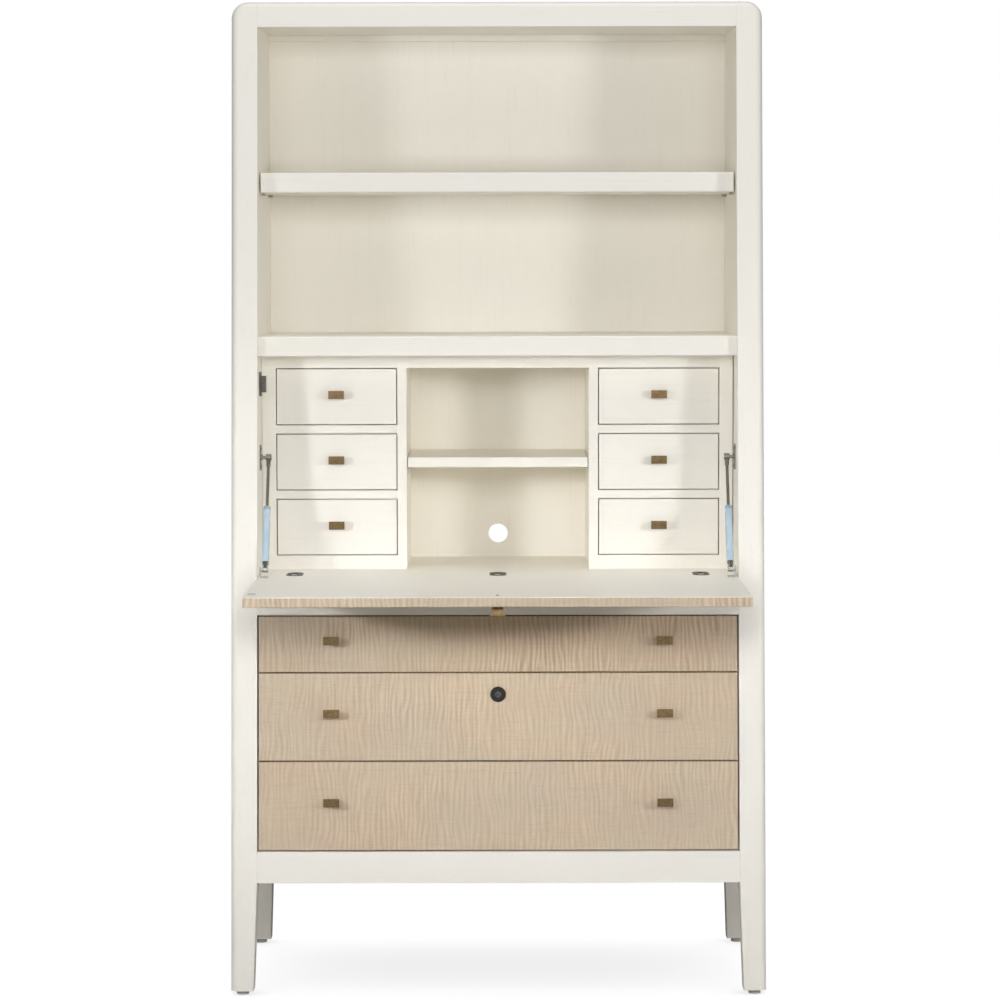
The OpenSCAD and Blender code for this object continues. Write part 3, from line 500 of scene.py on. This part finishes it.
BACK_SCREW_R, BACK_SCREW_RISE = 0.0042, 0.0014
BACK_SCREW_IN, BACK_SCREW_UP = 0.012, 0.03
BACK_SCREW_ROWS, BACK_SCREW_COLUMNS = 9, 5
low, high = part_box("back_panel")
back_step = (high.z - low.z - 2 * BACK_SCREW_UP) / (BACK_SCREW_ROWS - 1)
back_heights = [low.z + BACK_SCREW_UP + back_step * k for k in range(BACK_SCREW_ROWS)]
left_x, right_x = low.x + BACK_SCREW_IN, high.x - BACK_SCREW_IN
places = [(x, high.y, z) for x in (left_x, right_x) for z in back_heights]
for k in range(1, BACK_SCREW_COLUMNS - 1):
    x = left_x + (right_x - left_x) * k / (BACK_SCREW_COLUMNS - 1)
    places += [(x, high.y, back_heights[0]), (x, high.y, back_heights[-1])]
screws("back_panel_screws", "case", places, (0, 1, 0), BACK_SCREW_R, BACK_SCREW_RISE)


# ---------------------------------------------------------- studio and camera

WHITE = (1.0, 1.0, 1.0, 1.0)
ROOM_LIGHT = 0.112
FLOOR_HALF = 14.0
FLOOR_RGBA = (0.62, 0.62, 0.61, 1.0)
FLOOR_SHADE, FLOOR_GLOW = 0.82, 1.02
# Reach of the contact shadow, and the openness at which it is darkest and at which it ends
SHADOW_REACH, SHADOW_DARK, SHADOW_END = 0.80, 0.22, 0.62
SHADOW_SAMPLES = 8


def studio_world():
    """World that the camera sees as white and that lights the part as a dim soft room."""
    world = bpy.data.worlds.new("studio")
    bpy.context.scene.world = world
    world.use_nodes = True
    tree = world.node_tree
    back = tree.nodes["Background"]
    path = tree.nodes.new("ShaderNodeLightPath")
    level = tree.nodes.new("ShaderNodeMapRange")
    level.inputs["To Min"].default_value = ROOM_LIGHT
    level.inputs["To Max"].default_value = 1.0
    tree.links.new(path.outputs["Is Camera Ray"], level.inputs["Value"])
    tree.links.new(level.outputs["Result"], back.inputs["Strength"])
    back.inputs["Color"].default_value = WHITE


def floor_material():
    """Seen by the camera as white with a soft contact shadow, and by all other rays as pale grey."""
    material = bpy.data.materials.new("studio_floor")
    material.use_nodes = True
    tree = material.node_tree
    tree.nodes.clear()
    output = tree.nodes.new("ShaderNodeOutputMaterial")
    diffuse = tree.nodes.new("ShaderNodeBsdfDiffuse")
    diffuse.inputs["Color"].default_value = FLOOR_RGBA
    glow = tree.nodes.new("ShaderNodeEmission")
    contact = tree.nodes.new("ShaderNodeAmbientOcclusion")
    contact.samples = SHADOW_SAMPLES
    contact.inputs["Distance"].default_value = SHADOW_REACH
    level = tree.nodes.new("ShaderNodeMapRange")
    level.inputs["From Min"].default_value = SHADOW_DARK
    level.inputs["From Max"].default_value = SHADOW_END
    level.inputs["To Min"].default_value = FLOOR_SHADE
    level.inputs["To Max"].default_value = FLOOR_GLOW
    path = tree.nodes.new("ShaderNodeLightPath")
    choice = tree.nodes.new("ShaderNodeMixShader")
    tree.links.new(contact.outputs["AO"], level.inputs["Value"])
    tree.links.new(level.outputs["Result"], glow.inputs["Strength"])
    tree.links.new(path.outputs["Is Camera Ray"], choice.inputs["Fac"])
    tree.links.new(diffuse.outputs[0], choice.inputs[1])
    tree.links.new(glow.outputs[0], choice.inputs[2])
    tree.links.new(choice.outputs[0], output.inputs["Surface"])
    return material


def studio_floor():
    mesh = bpy.data.meshes.new("floor")
    corners = [(x * FLOOR_HALF, y * FLOOR_HALF, 0) for x, y in ((-1, -1), (1, -1), (1, 1), (-1, 1))]
    mesh.from_pydata(corners, [], [(0, 1, 2, 3)])
    mesh.materials.append(floor_material())
    floor = bpy.data.objects.new("floor", mesh)
    bpy.context.scene.collection.objects.link(floor)


def soft_box(name, place, target, size, watts, spread):
    """Area lamp that faces target and keeps its light within the angle spread, in degrees."""
    lamp = bpy.data.lights.new(name, "AREA")
    lamp.shape = "RECTANGLE"
    lamp.size, lamp.size_y = size
    lamp.energy = watts
    lamp.spread = math.radians(spread)
    o = bpy.data.objects.new(name, lamp)
    o.location = place
    o.rotation_euler = (Vector(target) - Vector(place)).to_track_quat("-Z", "Y").to_euler()
    bpy.context.scene.collection.objects.link(o)


studio_world()
studio_floor()
LEFT_STAND, RIGHT_STAND = (-2.32, -2.34, 1.38), (2.65, -2.46, 1.38)
KEY_SIZE, LOW_SIZE = (0.48, 0.36), (0.24, 0.24)
KEY_AIM, LOW_AIM = (0.0, 0.0, 0.95), (0.0, 0.0, 0.56)
WIDE_SPREAD, LOW_SPREAD = 180.0, 32.0
soft_box("key_left", LEFT_STAND, KEY_AIM, KEY_SIZE, 18.0, WIDE_SPREAD)
soft_box("key_right", RIGHT_STAND, KEY_AIM, KEY_SIZE, 27.0, WIDE_SPREAD)
soft_box("low_left", LEFT_STAND, LOW_AIM, LOW_SIZE, 0.95, LOW_SPREAD)
soft_box("low_right", RIGHT_STAND, LOW_AIM, LOW_SIZE, 0.60, LOW_SPREAD)
soft_box("front_wide", (0.0, -4.40, 2.10), (0.0, 0.0, 1.00), (2.60, 0.90), 56.0, WIDE_SPREAD)
soft_box("ceiling", (0.0, -0.80, 4.20), (0.0, -0.2, 1.00), (3.00, 2.00), 44.0, WIDE_SPREAD)

FOCAL_PX, FRAME_PX, SENSOR_MM = 3158.3, 1000.0, 36.0
CAMERA_X, CAMERA_DISTANCE, CAMERA_HEIGHT = 0.0110, 6.5587, 1.4335
CAMERA_DOWN, CAMERA_ROLL, CAMERA_PAN = 0.06463, 0.0021, 0.0009
CAMERA_SHIFT, CAMERA_REACH = -0.040, 100.0
camera_data = bpy.data.cameras.new("camera")
camera_data.sensor_width = SENSOR_MM
camera_data.lens = FOCAL_PX / FRAME_PX * SENSOR_MM
camera_data.shift_y = CAMERA_SHIFT
camera_data.clip_end = CAMERA_REACH
camera = bpy.data.objects.new("camera", camera_data)
camera.location = (CAMERA_X, REAR_Y - CAMERA_DISTANCE, CAMERA_HEIGHT)
camera.rotation_euler = (math.pi / 2 - CAMERA_DOWN, CAMERA_ROLL, CAMERA_PAN)
scene = bpy.context.scene
scene.collection.objects.link(camera)
scene.camera = camera
scene.view_settings.view_transform = "Standard"
scene.view_settings.look = "None"
scene.cycles.max_bounces = 16
scene.cycles.diffuse_bounces = 12
